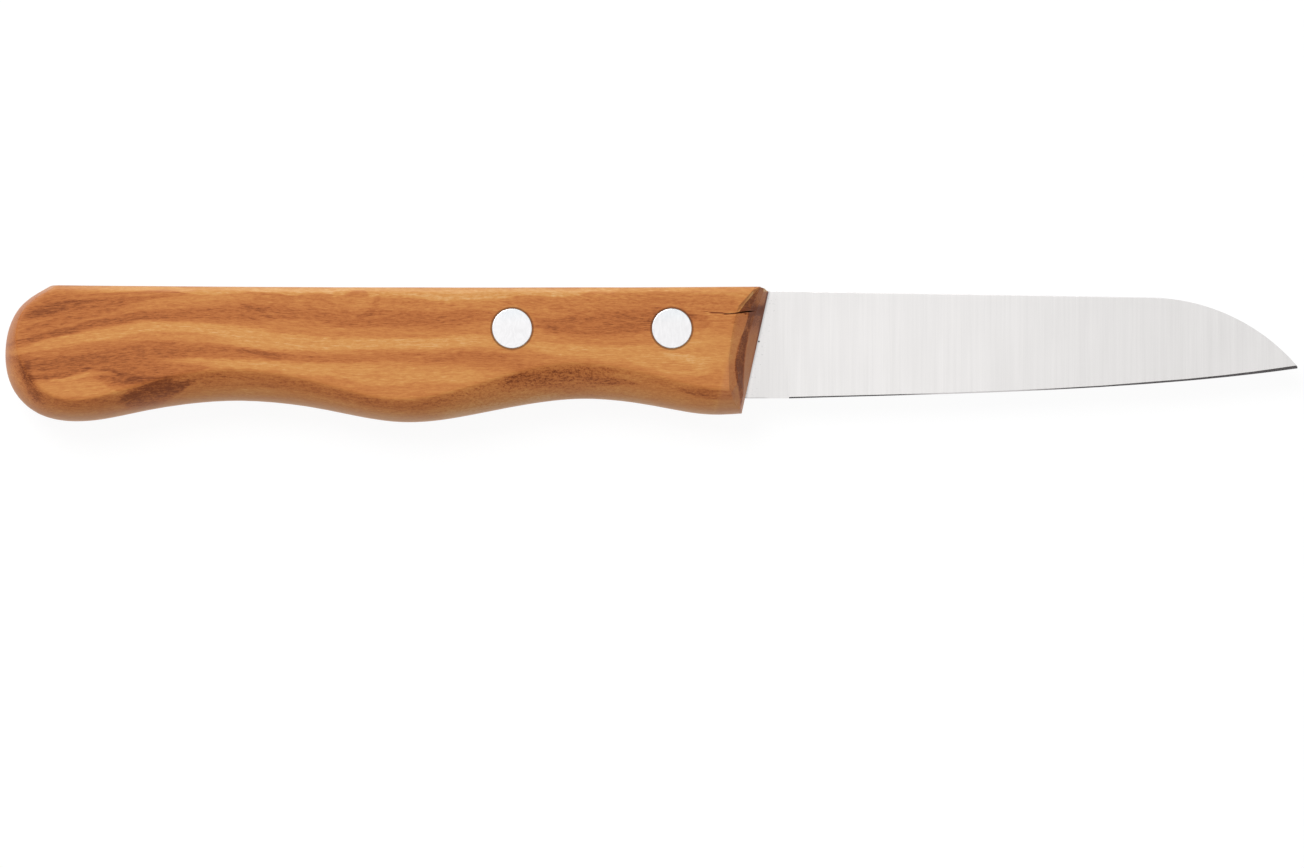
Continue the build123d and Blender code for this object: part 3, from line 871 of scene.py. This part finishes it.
class KNIFE_OT_blade(bpy.types.Operator):
    """Model the ground blade with its eased spine"""

    bl_idname = "knife.blade"
    bl_label = "Blade"

    def execute(self, context):
        settings = context.scene.knife_blade
        blade = merged_copy("blade", "blade_steel")
        bpy.ops.object.mode_set(mode="EDIT")
        bpy.ops.mesh.select_all(action="SELECT")
        bpy.ops.mesh.dissolve_limited(angle_limit=FLAT_ANGLE)
        bpy.ops.mesh.select_mode(type="VERT")
        bpy.ops.mesh.select_all(action="DESELECT")
        leave_edit_mode()
        # Left in, the grind's last points would fold into the eased edge of the spine
        start_x, end_x = GRIND_END_X
        for vertex in blade.data.vertices:
            vertex.select = start_x < vertex.co.x < end_x and vertex.co.y > GRIND_END_Y
        bpy.ops.object.mode_set(mode="EDIT")
        bpy.ops.mesh.dissolve_verts()
        leave_edit_mode()
        select_faces(blade, lambda centre, normal: abs(normal.z) < 0.1 and normal.y > 0.2)
        bpy.ops.mesh.region_to_loop()
        bpy.ops.mesh.bevel(offset=settings.spine_ease, segments=3)
        leave_edit_mode()
        activate(blade)
        bpy.ops.object.shade_smooth_by_angle(angle=CREASE_ANGLE)
        finish_piece(blade, ground_steel(settings), "ground_steel", "blade")
        return {"FINISHED"}


# Rivets


def rivet_aluminium(rivet):
    """Sanded aluminium with fine scratches."""
    paint = new_paint("rivet_aluminium")
    x, y, z = paint.millimetres()
    # Straight scratches on the front rivet, curved ones on the rear
    swirl = paint.noise(x * 0.45, y * 0.45, z, detail=1.0) - 0.5
    bend = (1 - x.rise(-16.0, -4.0)) * 2.0 + 0.3
    scratches = paint.noise(x * 3.4 + swirl * bend * 6.0, y * 0.5, z, detail=3.0, roughness=0.75) - 0.5
    bright = 1 + scratches * 0.20
    # A cool reflection lies over the upper part of each head
    cool = y.rise(4.2, 6.4) * 0.05
    base = paint.tint(paint.vector(bright - cool, bright - cool * 0.3, bright), rivet.aluminium)
    normal = paint.bump(scratches, 0.2, 0.02 * MM)
    return paint.surface(base_color=base, metallic=1.0, roughness=0.34 + scratches * 0.15, normal=normal)


def select_facing(piece, side, least):
    """Enters edit mode with the faces selected that look up (1) or down (-1) by at least this."""
    select_faces(piece, lambda centre, normal: normal.z * side > least)


def rivet_part(node, name, x, y, side, shank_radius, rim_round):
    """A sleeve or a stud, its head on the upper side (1) or the lower (-1)."""
    low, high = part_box(node)
    head_low, head_high = (high.z - HEAD_DEPTH, high.z) if side > 0 else (low.z, low.z + HEAD_DEPTH)
    piece = cylinder(name, HEAD_RADIUS, x, y, head_low, head_high)
    select_facing(piece, side, 0.9)
    bpy.ops.mesh.region_to_loop()
    bpy.ops.mesh.bevel(offset=rim_round, segments=4)
    leave_edit_mode()
    select_facing(piece, -side, 0.9)
    bpy.ops.mesh.inset(thickness=HEAD_RADIUS - shank_radius)
    reach = (high.z - low.z) - HEAD_DEPTH
    bpy.ops.mesh.extrude_region_move(TRANSFORM_OT_translate={"value": (0, 0, -side * reach)})
    leave_edit_mode()
    activate(piece)
    bpy.ops.object.shade_smooth_by_angle(angle=SMOOTH_ANGLE)
    select_facing(piece, side, 0.99)
    bpy.ops.mesh.faces_shade_flat()
    leave_edit_mode()
    return piece


class KNIFE_OT_rivets(bpy.types.Operator):
    """Model the two rivets, each a sleeve and a stud"""

    bl_idname = "knife.rivets"
    bl_label = "Rivets"

    def execute(self, context):
        settings = context.scene.knife_rivets
        material = rivet_aluminium(settings)
        for name, x, y in rivet_centres():
            for part, side, shank_radius in (("sleeve", 1, SHANK_RADIUS), ("stud", -1, PIN_RADIUS)):
                node = f"{name}_rivet_{part}"
                piece = rivet_part(node, f"{name}_{part}", x, y, side, shank_radius, settings.rim_round)
                finish_piece(piece, material, "rivet_aluminium", node)
        return {"FINISHED"}


# Stage

FLOOR_WIDTH = 12.0
FLOOR_BOUNCE = 0.8
FLOOR_SHOWN = 0.11
CARD_PLACE = (0.05, -0.34, 0.42)
CARD_SIZE = (0.7, 0.22, 1.0)
CARD_GREY = 0.17
KEY_OFFSET = Vector((-0.30, 0.42, 0.75))
KEY_WIDTH = 0.5
SENSOR_WIDTH = 36.0
CAMERA_X = 0.07 * MM
CAMERA_Y = -11.89 * MM


def floor_paint(stage):
    """White floor that lifts to pure white in the picture and keeps a faint shadow."""
    paint = new_paint("floor")
    bounce = paint.node("ShaderNodeBsdfDiffuse", {}, {"Color": grey(FLOOR_BOUNCE)})
    faint = paint.node("ShaderNodeBsdfDiffuse", {}, {"Color": grey(FLOOR_SHOWN)})
    glow = paint.node("ShaderNodeEmission", {}, {"Strength": stage.floor_glow})
    shown = paint.node("ShaderNodeAddShader", {}, (faint, glow))
    mixed = paint.node("ShaderNodeMixShader", {}, (paint.seen(), bounce, shown))
    paint.node("ShaderNodeOutputMaterial", {}, (mixed,))
    return paint.owner


def light_world(stage):
    """White surroundings, with a softer strength for what lights matt surfaces."""
    world = bpy.data.worlds.new("studio")
    bpy.context.scene.world = world
    paint = Paint(world)
    soft = paint.node("ShaderNodeBackground", {}, {"Color": grey(1.0), "Strength": stage.sky})
    white = paint.node("ShaderNodeBackground", {}, {"Color": grey(1.0), "Strength": 1.0})
    mixed = paint.node("ShaderNodeMixShader", {}, (paint.seen(), soft, white))
    paint.node("ShaderNodeOutputWorld", {}, (mixed,))


def aim(obj, target):
    obj.rotation_euler = (target - obj.location).to_track_quat("-Z", "Y").to_euler()


def add_plane(name, width, place):
    bpy.ops.object.select_all(action="DESELECT")
    bpy.ops.mesh.primitive_plane_add(size=width, location=place)
    bpy.context.object.name = name
    return bpy.context.object


class KNIFE_OT_stage(bpy.types.Operator):
    """Set up the floor, the soft lights and the camera"""

    bl_idname = "knife.stage"
    bl_label = "Stage"

    def execute(self, context):
        stage = context.scene.knife_stage
        scene = context.scene
        scene.view_settings.view_transform = "Standard"
        light_world(stage)
        centre = (cad_low + cad_high) / 2

        floor = add_plane("floor", FLOOR_WIDTH, (0, 0, cad_low.z))
        bpy.ops.object.transform_apply(location=True)
        floor.data.materials.append(floor_paint(stage))

        # A dark card beyond the picture, which only the steel mirrors
        card = add_plane("dark_card", 1.0, CARD_PLACE)
        card.scale = CARD_SIZE
        aim(card, centre)
        card_paint = new_paint("dark_card")
        card.data.materials.append(card_paint.surface(base_color=grey(CARD_GREY), roughness=0.9))
        card.visible_camera = False

        key = bpy.data.objects.new("key_light", bpy.data.lights.new("key_light", "AREA"))
        key.data.shape = "DISK"
        key.data.size = KEY_WIDTH
        key.data.energy = stage.key_power
        key.location = centre + KEY_OFFSET
        key.visible_camera = False
        aim(key, centre)
        scene.collection.objects.link(key)

        camera = bpy.data.objects.new("camera", bpy.data.cameras.new("camera"))
        camera.data.lens = stage.lens
        camera.data.sensor_width = SENSOR_WIDTH
        reach = stage.lens * stage.view_width / SENSOR_WIDTH
        camera.location = (CAMERA_X, CAMERA_Y, mid_z + reach)
        scene.collection.objects.link(camera)
        scene.camera = camera
        return {"FINISHED"}


class KNIFE_PT_panel(bpy.types.Panel):
    bl_idname = "KNIFE_PT_panel"
    bl_label = "Paring Knife"
    bl_space_type = "VIEW_3D"
    bl_region_type = "UI"
    bl_category = "Knife"

    def draw(self, context):
        for operator, group in PIECES:
            self.layout.operator(operator.bl_idname)
            settings = getattr(context.scene, group)
            for key in settings.__annotations__:
                self.layout.prop(settings, key)


GROUPS = {
    "knife_handle": HandleSettings,
    "knife_blade": BladeSettings,
    "knife_rivets": RivetSettings,
    "knife_stage": StageSettings,
}
PIECES = (
    (KNIFE_OT_stage, "knife_stage"),
    (KNIFE_OT_handle, "knife_handle"),
    (KNIFE_OT_blade, "knife_blade"),
    (KNIFE_OT_rivets, "knife_rivets"),
)


def register():
    for name, group in GROUPS.items():
        bpy.utils.register_class(group)
        setattr(bpy.types.Scene, name, PointerProperty(type=group))
    for operator, group in PIECES:
        bpy.utils.register_class(operator)
    bpy.utils.register_class(KNIFE_PT_panel)


def unregister():
    bpy.utils.unregister_class(KNIFE_PT_panel)
    for operator, group in PIECES:
        bpy.utils.unregister_class(operator)
    for name, group in GROUPS.items():
        delattr(bpy.types.Scene, name)
        bpy.utils.unregister_class(group)


def main():
    register()
    bpy.ops.knife.stage()
    bpy.ops.knife.handle()
    bpy.ops.knife.blade()
    bpy.ops.knife.rivets()


if __name__ == "__main__":
    main()
